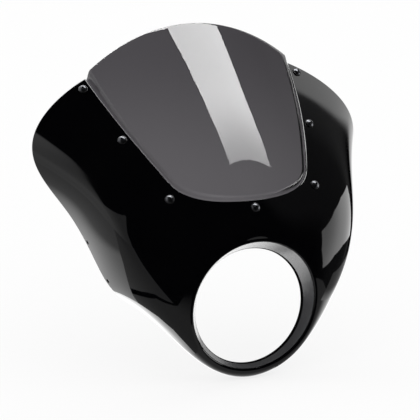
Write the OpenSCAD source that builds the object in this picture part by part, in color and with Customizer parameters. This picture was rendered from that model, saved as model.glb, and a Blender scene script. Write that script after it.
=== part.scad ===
// Headlight cowl: a moulded shell with a collar round the headlight opening, and a
// formed screen that rises through a notch in the shell's top.
// X runs across the cowl, Y runs rearward along the headlight's axis and Z is up.
// The origin is on that axis, in the land of the headlight opening.

/* [Headlight opening] */
// Radius of the land that the headlight's trim ring sits in
opening_r = 80; // [77:0.5:83]
// Length of the land along the headlight's axis
land_l = 5; // [4:0.5:6]
// How far the land runs behind the origin
land_back = 2; // [1:0.5:3]
// Depth of the collar at its sides, from the origin forward to the lip
collar_depth = 20; // [17:0.5:24]
// How much deeper the collar is at its top, and shallower at its bottom
collar_lean = 8; // [5:0.5:9]
// Angle between the collar's wall and the headlight's axis
collar_flare = 30; // [24:1:34]
// Width of the rounding between the collar and the face of the shell
lip_round = 5.5; // [4.5:0.25:6.5]

/* [Moulded shell] */
// Width of the cowl across its wings
cowl_w = 490; // [480:5:510]
// Height of the brow line above the headlight's axis
cowl_h = 325; // [310:5:345]
// Depth of the wings behind the origin
cowl_d = 200; // [185:5:220]
// Wall thickness of the shell
wall = 3; // [2.5:0.25:3.5]

/* [Notch for the screen] */
// Height of the notch's bottom above the headlight's axis
notch_bottom_h = 150; // [144:1:156]
// Height at which each side of the notch runs straight
notch_corner_h = 174; // [170:1:182]
// Width of the notch at that height
notch_corner_w = 205; // [196:1:214]
// Width of the notch at the rear edge of the wings
notch_top_w = 309; // [300:1:315]

/* [Screen] */
// Thickness of the screen
screen_t = 3; // [2.5:0.25:3.5]
// Width of the flange that lies behind the shell
flange_w = 20; // [19:0.5:22]
// Width of the flange outside each corner of the notch
corner_flange_w = 27; // [26:0.5:29]
// Gap between the flange and the shell
flange_gap = 0.5; // [0.4:0.05:0.7]
// Gap between the shell's edge and the foot of the step
notch_gap = 0.8; // [0.6:0.1:1.2]
// Width of the rounded step round the raised centre
step_w = 6; // [5:0.5:8]
// Height of the raised centre over the bottom of the notch
screen_lift = 5; // [4:0.5:7]
// Rake of the screen above the horizontal
screen_rake = 43.75; // [42.25:0.25:45]
// Radius that the screen is bent to across the cowl
screen_bend_r = 300; // [280:5:340]
// Depth of the screen's top edge behind the origin
screen_top_y = 195; // [185:1:199]

/* [Fasteners] */
// Distance of each screw from the edge of the notch
screw_inset = 12; // [11:0.5:12.5]
// Distance of the two corner screws from the rounded corner of the notch
corner_inset = 19; // [17:0.5:19.5]
// Height of the notch's edge beside the upper pair of screws
upper_screw_h = 282.5; // [276:0.5:284]
// Height of the notch's edge beside the middle pair of screws
middle_screw_h = 226; // [218:1:234]
// Diameter of the screws' shanks
shank_d = 5; // [4:0.5:5]
// Diameter of the screws' domed heads
head_d = 11.5; // [10.5:0.25:12]
// Height of the dome of each head
head_h = 3.2; // [2.8:0.1:3.6]
// Height of the straight rim under the dome
head_rim_h = 0.5; // [0.4:0.1:0.8]
// Width of the hexagon socket in each head
socket_w = 3; // [2.5:0.25:3.5]
// Depth of the hexagon socket
socket_deep = 1.8; // [1.4:0.1:2]
// Radial clearance of the shanks in the holes of the shell and the screen
hole_clearance = 0.6; // [0.4:0.05:0.8]
// Diameter of the nylon washers under the heads
washer_d = 13; // [12.5:0.25:14]
// Thickness of the nylon washers
washer_t = 1; // [0.8:0.1:1.4]
// Diameter of the rubber washers behind the flange
pad_d = 13; // [12:0.5:14]
// Thickness of the rubber washers
pad_t = 1.5; // [1.2:0.1:2]
// Width across the flats of the nuts
nut_w = 8; // [7.5:0.25:8.5]
// Height of the nuts
nut_h = 5; // [4:0.25:6]
// Length of the shanks that stands out behind the nuts
thread_end = 1.5; // [1:0.25:2.5]
// Radial clearance of the shanks in the washers and the nuts
bore_clearance = 0.1; // [0.08:0.01:0.2]
// Gap between the faces that are clamped together
seat_gap = 0.15; // [0.12:0.01:0.2]

/* [Bracket holes] */
// Radius of the bracket holes in the flanks
bracket_hole_r = 3; // [2.5:0.25:3.5]
// Distance of the bracket holes from the shell's rear edge
bracket_setback = 8; // [7:0.5:10]
// Heights of the three bracket holes in each flank
upper_bracket_h = 80; // [74:1:88]
middle_bracket_h = 30; // [26:1:36]
// Height of the lowest bracket hole, beside the chin
lower_bracket_h = -68; // [-71:1:-62]

/* [Hidden] */

// Clock angles on the lip at which the rail points of each side start
clock = [90, 72, 56, 42, 28, 10, -12, -38, -64, -90];

// Rail along the shoulder of the shell, from the brow round the cheek to the chin.
// The upper points are shares of the cowl's half width, depth and height, and the
// last four stand off the headlight opening.
half_w = cowl_w / 2;
function on_body(p) = [p[0] * half_w, p[1] * cowl_d, p[2] * cowl_h];
function on_ring(p) = [p[0] * opening_r, p[1] * opening_r, p[2] * opening_r];
shoulder_rail = concat(
    [for (p = [[0, -0.325, 0.477], [0.17, -0.20, 0.492], [0.41, -0.05, 0.532],
        [0.68, 0, 0.538], [0.83, 0, 0.455], [0.795, -0.025, 0.292]]) on_body(p)],
    [for (p = [[1.96, -0.075, 0.375], [1.41, -0.10, -0.55], [0.81, -0.15, -1.15],
        [0, -0.15, -1.325]]) on_ring(p)]);
// Rail along the rear edge of the shell
edge_rail = concat(
    [for (p = [[0, 1.06, 1.04], [0.673, 1.005, 0.914], [1.03, 0.885, 0.70],
        [0.996, 0.785, 0.523], [0.82, 0.66, 0.357], [0.735, 0.505, 0.163]]) on_body(p)],
    [for (p = [[2.09, 0.925, 0.15], [1.50, 0.625, -0.125], [0.86, 0.19, -0.91],
        [0, 0.09, -1.425]]) on_ring(p)]);
rail_end = len(clock) - 1;

// Facets: columns round the notch's bottom and corner, columns of each wing and
// flank, rows from the lip to the notch's corner, and rows from there to the rear edge
notch_cols = 16;
wing_cols = 24;
low_rows = 8;
high_rows = 12;

function unit(v) = v / norm(v);
function mix(a, b, t) = a + (b - a) * t;
function mirrored(p) = [-p[0], p[1], p[2]];

// Point i of a rail, which goes on past either end as the mirror image of itself
function rail_point(rail, i) =
    i < 0 ? mirrored(rail[-i]) :
    i > rail_end ? mirrored(rail[2 * rail_end - i]) : rail[i];
function clock_point(i) =
    i < 0 ? 180 - clock[-i] : i > rail_end ? -180 - clock[2 * rail_end - i] : clock[i];

// Weights of a uniform cubic B-spline at share t of a span
function weights(t) =
    [pow(1 - t, 3) / 6, (3 * pow(t, 3) - 6 * t * t + 4) / 6,
     (-3 * pow(t, 3) + 3 * t * t + 3 * t + 1) / 6, pow(t, 3) / 6];
function rail_at(rail, u) =
    let (i = floor(u), w = weights(u - i))
    w[0] * rail_point(rail, i - 1) + w[1] * rail_point(rail, i)
    + w[2] * rail_point(rail, i + 1) + w[3] * rail_point(rail, i + 2);
function clock_at(u) =
    let (i = floor(u), w = weights(u - i))
    w[0] * clock_point(i - 1) + w[1] * clock_point(i)
    + w[2] * clock_point(i + 1) + w[3] * clock_point(i + 2);

// The collar: its depth at clock angle a, its radius where it meets the lip, and the
// start of the shell's face beyond the lip's rounding
function radial(a, r, y) = [r * cos(a), y, r * sin(a)];
function collar_deep(a) = collar_depth + collar_lean * sin(a);
function collar_r(a) = opening_r + (collar_deep(a) - land_l + land_back) * tan(collar_flare);
lip_lead = lip_round / 3;
function face_start(a) = radial(a, collar_r(a) + lip_round, -collar_deep(a) - lip_lead);

// The face of the shell: a parabola from the lip over the shoulder to the rear edge
function face(u, t) =
    pow(1 - t, 2) * face_start(clock_at(u)) + 2 * t * (1 - t) * rail_at(shoulder_rail, u)
    + t * t * rail_at(edge_rail, u);
d_u = 0.01;
d_t = 0.005;
function along_u(u, t) = (face(u + d_u, t) - face(u - d_u, t)) / (2 * d_u);
function along_t(u, t) = (face(u, t + d_t) - face(u, t - d_t)) / (2 * d_t);
function face_normal(u, t) = unit(cross(along_u(u, t), along_t(u, t)));
function behind_face(u, t, depth) = face(u, t) - depth * face_normal(u, t);

// The place on the face that lies a given vector away from the place [u, t]
function moved(ut, v) =
    let (a = along_u(ut[0], ut[1]), b = along_t(ut[0], ut[1]),
         det = (a * a) * (b * b) - (a * b) * (a * b),
         du = ((a * v) * (b * b) - (b * v) * (a * b)) / det,
         dt = ((b * v) * (a * a) - (a * v) * (a * b)) / det)
    [ut[0] + du, min(1, ut[1] + dt)];

// Root of a rising function between two values, by halving
function root(f, low, high, steps = 22) =
    let (middle = (low + high) / 2)
    steps == 0 ? middle :
    f(middle) < 0 ? root(f, middle, high, steps - 1) : root(f, low, middle, steps - 1);

// The notch on the face: its bottom, the end of its corner and its end at the rear edge
function u_at_width(w, t) = root(function(u) face(u, t)[0] - w / 2, 0, 3);
notch_bottom_t = root(function(t) face(0, t)[2] - notch_bottom_h, 0, 1);
notch_corner_t = root(function(t)
    face(u_at_width(notch_corner_w, t), t)[2] - notch_corner_h, 0.2, 0.8);
notch_corner_u = u_at_width(notch_corner_w, notch_corner_t);
notch_top_u = u_at_width(notch_top_w, 1);
corner_power = 2.3;
function side_u(t) =
    notch_corner_u + (notch_top_u - notch_corner_u) * (t - notch_corner_t) / (1 - notch_corner_t);

// Outline of the notch, from its bottom on the centre line to the rear edge: a rounded
// corner of superellipse form, spaced evenly, that runs out into the straight side
function notch_curve(share) =
    let (p = pow(share, corner_power / 2), q = pow(1 - share, corner_power / 2),
         a = 90 * p / (p + q),
         t = notch_corner_t - (notch_corner_t - notch_bottom_t) * pow(cos(a), 2 / corner_power))
    [side_u(t) * pow(sin(a), 2 / corner_power), t];
function notch_side(t) = [side_u(t), t];
outline = concat(
    [for (j = [0:notch_cols - 1]) notch_curve(j / notch_cols)],
    [for (i = [0:high_rows]) notch_side(notch_corner_t + (1 - notch_corner_t) * i / high_rows)]);
outline_end = len(outline) - 1;

// Place on the face of grid column j and row i, where columns run from the brow's
// centre to the chin's centre, closer beside the notch, and rows from the lip to the
// rear edge
col_bias = 1.2;
all_cols = notch_cols + wing_cols;
all_rows = low_rows + high_rows;
function face_place(j, i) =
    j < notch_cols ?
        let (share = j / notch_cols) mix([side_u(0) * share, 0], notch_curve(share), i / low_rows) :
        let (t = i <= low_rows ? notch_corner_t * i / low_rows :
                 notch_corner_t + (1 - notch_corner_t) * (i - low_rows) / high_rows,
             start = side_u(t), share = pow((j - notch_cols) / wing_cols, col_bias))
        [start + (rail_end - start) * share, t];

// The collar and the lip as one profile in the plane of clock angle a, from the land's
// rear edge to the face. The land is moulded a little tight and bored to size, so that
// the bore ends where it meets the flared wall.
bore_stock = 0.5;
lip_arm_share = 0.45;
lip_rows = 4;
collar_rows = lip_rows + 2;
function curve_point(p, q, r, s, t) =
    pow(1 - t, 3) * p + 3 * t * pow(1 - t, 2) * q + 3 * t * t * (1 - t) * r + pow(t, 3) * s;
function collar_point(u, i, depth) =
    let (a = clock_at(u), r = opening_r - bore_stock + depth,
         y = land_back - land_l + bore_stock / tan(collar_flare),
         flare_in = depth * tan(collar_flare / 2),
         wall_dir = radial(a, sin(collar_flare), -cos(collar_flare)),
         lip_edge = radial(a, collar_r(a) + depth * cos(collar_flare),
             -collar_deep(a) + depth * sin(collar_flare)),
         start = behind_face(u, 0, depth),
         arm = lip_arm_share * (lip_round - depth))
    i == 0 ? radial(a, r, land_back) :
    i == 1 ? radial(a, r, y + flare_in) :
    curve_point(lip_edge, lip_edge + arm * wall_dir,
        start - arm * unit(along_t(u, 0)), start, (i - 2) / lip_rows);

// One skin of the shell's right half, at a depth behind the face, column by column
function skin_point(j, i, depth) =
    i < collar_rows ? collar_point(face_place(j, 0)[0], i, depth) :
    let (place = face_place(j, i - collar_rows)) behind_face(place[0], place[1], depth);
skin_rows = collar_rows + all_rows + 1;
function last_row(j) = j < notch_cols ? collar_rows + low_rows : skin_rows - 1;
function skin(depth) =
    [for (j = [0:all_cols]) for (i = [0:skin_rows - 1]) skin_point(j, min(i, last_row(j)), depth)];

// Faces of a sheet with two skins and two mirrored halves, where at(side, depth, j, i) is
// the index of a point. The left half's triangles turn the other way.
function quad(a, b, c, d, flip) = flip ? [[a, b, d], [b, c, d]] : [[a, d, b], [b, d, c]];
function patch(at, side, j, i) =
    [for (depth = [0, 1]) each quad(at(side, depth, j, i), at(side, depth, j + 1, i),
        at(side, depth, j + 1, i + 1), at(side, depth, j, i + 1), side != depth)];
function rim(at, side, j0, i0, j1, i1) =
    quad(at(side, 0, j0, i0), at(side, 0, j1, i1), at(side, 1, j1, i1), at(side, 1, j0, i0),
        side == 1);

module shell_form() {
    half = (all_cols + 1) * skin_rows;
    outer = skin(0);
    inner = skin(wall);
    points = concat(outer, [for (p = outer) mirrored(p)], inner, [for (p = inner) mirrored(p)]);
    at = function(side, depth, j, i)
        depth * 2 * half + (side == 1 && j > 0 && j < all_cols ? half : 0) + j * skin_rows + i;
    faces = [for (side = [0, 1]) each concat(
        [for (j = [0:all_cols - 1]) for (i = [0:last_row(j) - 1]) each patch(at, side, j, i)],
        [for (j = [0:all_cols - 1]) each rim(at, side, j + 1, 0, j, 0)],
        [for (j = [0:all_cols - 1]) each rim(at, side, j, last_row(j), j + 1, last_row(j))],
        [for (i = [last_row(0):skin_rows - 2])
            each rim(at, side, notch_cols, i, notch_cols, i + 1)])];
    polyhedron(points, faces, convexity = 8);
}

// Frame of point w of the notch's outline: its place on the face, the point, the outward
// normal, the way along the edge and the way into the notch
function outline_frame(w) =
    let (p = outline[w], before = w == 0 ? [-outline[1][0], outline[1][1]] : outline[w - 1],
         after = w == outline_end ? outline[w] : outline[w + 1],
         along = unit(face(after[0], after[1]) - face(before[0], before[1])),
         n = face_normal(p[0], p[1]))
    [p, face(p[0], p[1]), n, along, unit(cross(n, along))];
frames = [for (w = [0:outline_end]) outline_frame(w)];

// The raised centre of the screen: a sheet bent to a radius about a raked line, as a
// function of the distance x from the centre line and the distance s up the rake
sheet_origin = frames[0][1];
rake_dir = [0, cos(screen_rake), sin(screen_rake)];
lift_dir = [0, -sin(screen_rake), cos(screen_rake)];
function sheet_height(x) =
    screen_lift - screen_bend_r + sqrt(screen_bend_r * screen_bend_r - x * x);
function sheet_normal(x) =
    let (k = x / screen_bend_r) [k, 0, 0] + sqrt(1 - k * k) * lift_dir;
function sheet(x, s, depth) =
    sheet_origin + [x, 0, 0] + s * rake_dir + sheet_height(x) * lift_dir
    - depth * sheet_normal(x);
function top_s(x) =
    (screen_top_y - sheet_origin[1] + sheet_height(x) * sin(screen_rake)) / cos(screen_rake);

// Where the step meets the raised centre, as [x, share of the way up to the top edge]
step_run = notch_gap + step_w;
function step_top(w) =
    let (f = frames[w], p = f[1] + step_run * f[4] - sheet_origin, x = w == 0 ? 0 : p[0])
    [x, (p * rake_dir) / top_s(x)];
top_share = step_top(outline_end)[1];
// The rows of the raised centre run from the step to the centre line, which they meet
// from this share of its height up to the top edge
core_rise = 0.12;
core_start = step_top(0)[1] / top_share + core_rise;

// The screen across the notch's edge: rows over the flange, up the step and over the
// raised centre
flange_rows = 3;
step_arm_share = 0.55;
corner_screw = 0.82;
corner_spread = 0.5;
function flange_at(w) =
    let (off = min(1, abs(w / notch_cols - corner_screw) / corner_spread))
    flange_w + (corner_flange_w - flange_w) * pow(cos(90 * off), 2);
step_rows = 5;
centre_rows = 8;
screen_rows = flange_rows + step_rows + centre_rows + 1;
function screen_point(w, k, depth) =
    let (f = frames[w], top = step_top(w), x = top[0], share = top[1] / top_share,
         under = wall + flange_gap)
    k < flange_rows ?
        let (place = moved(f[0], -flange_at(w) * (1 - k / flange_rows) * f[4]))
        behind_face(place[0], place[1], under + depth) :
    k <= flange_rows + step_rows ?
        let (t = (k - flange_rows) / step_rows,
             foot = f[1] + notch_gap * f[4] - under * f[2],
             head = sheet(x, share * top_s(x), 0),
             head_in = unit(cross(sheet_normal(x), f[3])),
             arm = step_arm_share * step_w,
             q = foot + arm * f[4], r = head - arm * head_in,
             p = curve_point(foot, q, r, head, t),
             slope = 3 * pow(1 - t, 2) * (q - foot) + 6 * t * (1 - t) * (r - q)
                 + 3 * t * t * (head - r))
        p - depth * unit(cross(f[3], slope)) :
        let (t = (k - flange_rows - step_rows) / centre_rows,
             core = mix(core_start, 1, w / outline_end),
             x_in = x * (1 - t), up = mix(share, core, t))
        sheet(x_in, up * top_s(x_in), depth);

module screen_form() {
    half = (outline_end + 1) * screen_rows;
    function skin(depth) =
        [for (w = [0:outline_end]) for (k = [0:screen_rows - 1]) screen_point(w, k, depth)];
    outer = skin(0);
    inner = skin(screen_t);
    points = concat(outer, [for (p = outer) mirrored(p)], inner, [for (p = inner) mirrored(p)]);
    at = function(side, depth, w, k)
        depth * 2 * half + (side == 1 && w > 0 && k < screen_rows - 1 ? half : 0)
        + w * screen_rows + k;
    faces = [for (side = [0, 1]) each concat(
        [for (w = [0:outline_end - 1]) for (k = [0:screen_rows - 2]) each patch(at, side, w, k)],
        [for (w = [0:outline_end - 1]) each rim(at, side, w + 1, 0, w, 0)],
        [for (k = [0:screen_rows - 2])
            each rim(at, side, outline_end, k + 1, outline_end, k)])];
    polyhedron(points, faces, convexity = 8);
}

// Places of the fasteners on the right half of the face. A place that is set by its
// height lies on the side of the notch or beside the rear edge at that height.
function side_t_at(h) = root(function(t) face(side_u(t), t)[2] - h, notch_corner_t, 1);
function edge_u_at(h) = root(function(u) h - face(u, 1)[2], notch_top_u, rail_end - 0.5);
function off_notch(place, after, inset) =
    let (n = face_normal(place[0], place[1]),
         along = unit(face(after[0], after[1]) - face(place[0], place[1])))
    moved(place, -inset * unit(cross(n, along)));
function side_screw(h) =
    let (t = side_t_at(h)) off_notch(notch_side(t), notch_side(t + d_t), screw_inset);
function off_edge(h) =
    let (u = edge_u_at(h), t = 1, n = face_normal(u, t), along = unit(along_u(u, t)))
    moved([u, t], -bracket_setback * unit(cross(n, along)));
screw_places = [side_screw(upper_screw_h), side_screw(middle_screw_h),
    off_notch(notch_curve(corner_screw), notch_curve(corner_screw + d_u), corner_inset),
    moved(notch_curve(0), -screw_inset * frames[0][4])];
bracket_places = [for (h = [upper_bracket_h, middle_bracket_h, lower_bracket_h]) off_edge(h)];

// Moves what is drawn along +Z at the origin to a place on the face, pointing outward
module on_face(place, left = false) {
    p = face(place[0], place[1]);
    n = face_normal(place[0], place[1]);
    mirror([left ? 1 : 0, 0, 0])
        translate(p) rotate([0, acos(n[2]), atan2(n[1], n[0])]) children();
}

// Screw k of seven, counted from the left tip of the notch to the right tip
function screw_place(k) = screw_places[k <= 4 ? k - 1 : 7 - k];
module at_screw(k) {
    on_face(screw_place(k), k < 4) children();
}

// The land's cutter starts behind the land and ends in the open mouth of the collar
bore_past = 2;
module headlight_bore() {
    rotate([90, 0, 0]) translate([0, 0, -land_back - bore_past])
        cylinder(r = opening_r, h = land_l + 2 * bore_past, $fn = 96);
}

hole_r = shank_d / 2 + hole_clearance;
drill_l = 14;
module shell() {
    color([0.03, 0.03, 0.03]) difference() {
        shell_form();
        headlight_bore();
        for (k = [1:7]) at_screw(k) translate([0, 0, -drill_l / 2])
            cylinder(r = hole_r, h = drill_l, $fn = 32);
        for (left = [false, true]) for (place = bracket_places) on_face(place, left)
            translate([0, 0, -drill_l / 2]) cylinder(r = bracket_hole_r, h = drill_l, $fn = 32);
    }
}

module screen() {
    color([0.35, 0.35, 0.36, 0.6]) difference() {
        screen_form();
        for (k = [1:7]) at_screw(k) translate([0, 0, -drill_l])
            cylinder(r = hole_r, h = drill_l, $fn = 32);
    }
}

// How far the surface behind the face at a depth drops below a flat ring of radius r
// at a place, or how far it rises above it where way is -1
function sag(place, r, depth, way) =
    let (n = face_normal(place[0], place[1]), e = unit(along_u(place[0], place[1])),
         p = behind_face(place[0], place[1], depth))
    max([for (a = [0:30:330])
        let (q = moved(place, r * (cos(a) * e + sin(a) * cross(n, e))))
            way * (p - behind_face(q[0], q[1], depth)) * n]);

// Heights over the face of each layer that screw k clamps
under_screen = wall + flange_gap + screen_t;
function washer_z(k) = seat_gap + max(0, sag(screw_place(k), washer_d / 2, 0, -1));
function head_z(k) = washer_z(k) + washer_t + seat_gap;
function pad_z(k) =
    -under_screen - seat_gap - max(0, sag(screw_place(k), pad_d / 2, under_screen, 1)) - pad_t;
function nut_z(k) = pad_z(k) - seat_gap - nut_h;

module screw(k) {
    dome_r = (pow(head_d / 2, 2) + pow(head_h, 2)) / (2 * head_h);
    overlap = 0.01;
    color([0.05, 0.05, 0.05]) at_screw(k) difference() {
        union() {
            translate([0, 0, nut_z(k) - thread_end])
                cylinder(d = shank_d, h = head_z(k) - nut_z(k) + thread_end + overlap, $fn = 32);
            translate([0, 0, head_z(k)]) rotate_extrude($fn = 48) intersection() {
                translate([0, head_rim_h + head_h - dome_r]) circle(r = dome_r, $fn = 96);
                square([head_d / 2, head_rim_h + head_h]);
            }
        }
        translate([0, 0, head_z(k) + head_rim_h + head_h - socket_deep])
            cylinder(d = socket_w / cos(30), h = socket_deep + 1, $fn = 6);
    }
}

module ring(d, t, z) {
    translate([0, 0, z]) difference() {
        cylinder(d = d, h = t, $fn = 48);
        translate([0, 0, -1]) cylinder(r = shank_d / 2 + bore_clearance, h = t + 2, $fn = 32);
    }
}

module nylon_washer(k) {
    color([0.08, 0.08, 0.08]) at_screw(k) ring(washer_d, washer_t, washer_z(k));
}

module rubber_washer(k) {
    color([0.12, 0.12, 0.12]) at_screw(k) ring(pad_d, pad_t, pad_z(k));
}

module nut(k) {
    color([0.75, 0.76, 0.78]) at_screw(k) translate([0, 0, nut_z(k)]) difference() {
        cylinder(d = nut_w / cos(30), h = nut_h, $fn = 6);
        translate([0, 0, -1]) cylinder(r = shank_d / 2 + bore_clearance, h = nut_h + 2, $fn = 32);
    }
}

shell();
screen();
for (k = [1:7]) {
    screw(k);
    nylon_washer(k);
    rubber_washer(k);
    nut(k);
}
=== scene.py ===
"""A headlight cowl on a pale studio floor: a lacquered shell, a smoked screen and the seven
screws that hold the screen behind the shell.

The surfaces are worked out in millimetres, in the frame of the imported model: X across the
cowl, Y rearward along the headlight's axis, Z up. They reach Blender in metres.
"""

import bmesh
import bpy
import numpy as np
from mathutils import Matrix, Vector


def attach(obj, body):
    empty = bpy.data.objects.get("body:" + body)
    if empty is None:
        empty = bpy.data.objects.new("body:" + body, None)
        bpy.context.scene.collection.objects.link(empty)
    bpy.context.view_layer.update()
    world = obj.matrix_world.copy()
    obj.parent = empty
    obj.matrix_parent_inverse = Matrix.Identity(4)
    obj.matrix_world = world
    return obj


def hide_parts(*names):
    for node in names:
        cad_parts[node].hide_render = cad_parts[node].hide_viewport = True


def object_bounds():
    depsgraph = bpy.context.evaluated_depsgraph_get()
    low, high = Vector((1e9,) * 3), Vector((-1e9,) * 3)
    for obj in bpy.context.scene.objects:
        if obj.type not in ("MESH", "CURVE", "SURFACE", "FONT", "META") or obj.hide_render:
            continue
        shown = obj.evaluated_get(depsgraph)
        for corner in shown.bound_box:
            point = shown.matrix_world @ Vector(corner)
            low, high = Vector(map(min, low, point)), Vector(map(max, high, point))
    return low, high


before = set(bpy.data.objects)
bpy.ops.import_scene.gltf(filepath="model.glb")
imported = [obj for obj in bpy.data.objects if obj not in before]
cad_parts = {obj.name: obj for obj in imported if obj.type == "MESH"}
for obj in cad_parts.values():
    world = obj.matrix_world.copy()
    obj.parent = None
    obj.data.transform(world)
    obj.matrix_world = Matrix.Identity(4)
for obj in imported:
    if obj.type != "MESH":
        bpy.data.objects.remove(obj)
cad_box = [list(corner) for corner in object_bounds()]

# Headlight opening
OPENING_R, LAND_L, LAND_BACK, BORE_STOCK = 80.0, 5.0, 2.0, 0.5
COLLAR_DEPTH, COLLAR_LEAN, COLLAR_FLARE = 20.0, 8.0, np.radians(30)
LIP_ROUND, LIP_ARM = 5.5, 0.45
# Moulded shell
HALF_W, COWL_H, COWL_D, WALL = 245.0, 325.0, 200.0, 3.0
# Notch for the screen
NOTCH_BOTTOM_H, NOTCH_CORNER_H, NOTCH_CORNER_W, NOTCH_TOP_W = 150.0, 174.0, 205.0, 309.0
CORNER_POWER = 2.3
# Screen
SCREEN_T, FLANGE_W, CORNER_FLANGE_W, FLANGE_GAP = 3.0, 20.0, 27.0, 0.5
NOTCH_GAP, STEP_W, SCREEN_LIFT = 0.8, 6.0, 5.0
SCREEN_RAKE, SCREEN_BEND_R, SCREEN_TOP_Y = np.radians(43.75), 300.0, 195.0
CORNER_SCREW, CORNER_SPREAD, CORE_RISE = 0.82, 0.5, 0.12
# Fasteners
SCREW_INSET, CORNER_INSET, UPPER_SCREW_H, MIDDLE_SCREW_H = 12.0, 19.0, 282.5, 226.0
SHANK_R, HEAD_R, HEAD_H, HEAD_RIM_H, SOCKET_W, SOCKET_DEEP = 2.5, 5.75, 3.2, 0.5, 3.0, 1.8
WASHER_R, WASHER_T, PAD_R, PAD_T, NUT_W, NUT_H, THREAD_END = 6.5, 1.0, 6.5, 1.5, 8.0, 5.0, 1.5
HOLE_R, RING_BORE_R, SEAT_GAP = 3.1, 2.6, 0.15
THREAD_PITCH, THREAD_BITE, PLAIN_SHANK, TIP_H, TIP_CUT = 0.8, 0.28, 4.0, 0.5, 0.45
SOCKET_MOUTH, SOCKET_POINT, NUT_CHAMFER, NUT_COLLAR, NUT_COLLAR_H = 1.04, 0.5, 0.96, 0.9, 1.3
# Bracket holes
BRACKET_HOLE_R, BRACKET_SETBACK, BRACKET_HEIGHTS = 3.0, 8.0, (80.0, 30.0, -68.0)

# The skins stop this far short of each edge, and a rounded rim closes them
EDGE = 1.0
# Rounding of the land's corner, of a hole's rims, of a screw head's rim and of a ring's bore
LAND_SOFT, HOLE_SOFT, HEAD_SOFT, BORE_SOFT = 0.8, 0.3, 0.12, 0.1
# Points along half the notch's corner, rows and columns of the shell, and turns of a corner
CORNER_POINTS, FACE_ROWS, WING_COLUMNS, FAN = 49, 37, 121, 6
# Steps for slopes, on the face and along the notch's outline
STEP, OUTLINE_STEP = 1e-4, 1e-3
# In metres, a millimetre and the reach within which points are merged
MM, MERGE = 0.001, 3e-6


def norm(v):
    return np.linalg.norm(v, axis=-1, keepdims=True)


def unit(v):
    return v / norm(v)


def dot(a, b):
    return np.sum(a * b, axis=-1, keepdims=True)


def mix(a, b, share):
    """From a (share 0) to b (share 1), in a straight line."""
    return a + (b - a) * share


def curve(p, q, r, s, t):
    """Cubic with end points p and s and handles q and r."""
    return (1 - t) ** 3 * p + 3 * t * (1 - t) ** 2 * q + 3 * t**2 * (1 - t) * r + t**3 * s


def root(rising, low, high):
    """Where a rising function crosses zero, by halving."""
    for _ in range(40):
        middle = (low + high) / 2
        low, high = (middle, high) if rising(middle) < 0 else (low, middle)
    return middle


# The face of the shell


def continued(rail, mirror):
    """A rail goes on past either end as its own mirror image, two points each way."""
    return np.concatenate([[mirror(rail[2]), mirror(rail[1])], rail,
                           [mirror(rail[-2]), mirror(rail[-3])]])


def spline(points, u):
    """Uniform cubic B-spline: four neighbouring points, weighted by cubics in the share of the
    span."""
    u = np.asarray(u, float)
    i = np.floor(u).astype(int)
    s = u - i
    weights = ((1 - s) ** 3, 3 * s**3 - 6 * s**2 + 4, -3 * s**3 + 3 * s**2 + 3 * s + 1, s**3)
    return sum(w[..., None] * points[i + 1 + k] for k, w in enumerate(weights)) / 6


def other_side(p):
    return p * [-1, 1, 1]


BODY = np.array([HALF_W, COWL_D, COWL_H])
SHOULDER = continued(np.concatenate([
    np.array([[0, -0.325, 0.477], [0.17, -0.20, 0.492], [0.41, -0.05, 0.532],
              [0.68, 0, 0.538], [0.83, 0, 0.455], [0.795, -0.025, 0.292]]) * BODY,
    np.array([[1.96, -0.075, 0.375], [1.41, -0.10, -0.55], [0.81, -0.15, -1.15],
              [0, -0.15, -1.325]]) * OPENING_R]), other_side)
REAR = continued(np.concatenate([
    np.array([[0, 1.06, 1.04], [0.673, 1.005, 0.914], [1.03, 0.885, 0.70],
              [0.996, 0.785, 0.523], [0.82, 0.66, 0.357], [0.735, 0.505, 0.163]]) * BODY,
    np.array([[2.09, 0.925, 0.15], [1.50, 0.625, -0.125], [0.86, 0.19, -0.91],
              [0, 0.09, -1.425]]) * OPENING_R]), other_side)
CLOCK = np.array([90, 72, 56, 42, 28, 10, -12, -38, -64, -90.0])[:, None]
CLOCK = np.concatenate([180 - CLOCK[2:0:-1], CLOCK, -180 - CLOCK[-2:-4:-1]])
CHIN = 9.0


def clock(u):
    """Clock angle on the lip at which line u of the face starts."""
    return np.radians(spline(CLOCK, u))


def radial(angle, r, y):
    """A point at radius r and depth y, at a clock angle about the headlight's axis."""
    return np.concatenate([r * np.cos(angle), y + 0 * angle, r * np.sin(angle)], -1)


def collar_deep(angle):
    """The collar is deepest at the top and shallowest at the bottom, by the sine of the angle."""
    return COLLAR_DEPTH + COLLAR_LEAN * np.sin(angle)


def collar_r(angle):
    """The collar's cone widens from the front of the land by the tangent of its flare."""
    return OPENING_R + (collar_deep(angle) - LAND_L + LAND_BACK) * np.tan(COLLAR_FLARE)


def face(u, t):
    """The shell's face: for each u round the opening, a parabola in t from the lip (t 0), drawn
    towards the shoulder rail, to the rear rail (t 1). Both rails are splines in u."""
    a, t = clock(u), np.asarray(t, float)[..., None]
    start = radial(a, collar_r(a) + LIP_ROUND, -collar_deep(a) - LIP_ROUND / 3)
    return (1 - t) ** 2 * start + 2 * t * (1 - t) * spline(SHOULDER, u) + t**2 * spline(REAR, u)


def along_u(u, t):
    return (face(u + STEP, t) - face(u - STEP, t)) / (2 * STEP)


def along_t(u, t):
    return (face(u, t + STEP) - face(u, t - STEP)) / (2 * STEP)


def normal(u, t):
    """Unit vector square to the face, outward."""
    return unit(np.cross(along_u(u, t), along_t(u, t)))


def behind(u, t, depth):
    """The point at a depth behind the face, square to it."""
    return face(u, t) - depth * normal(u, t)


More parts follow.
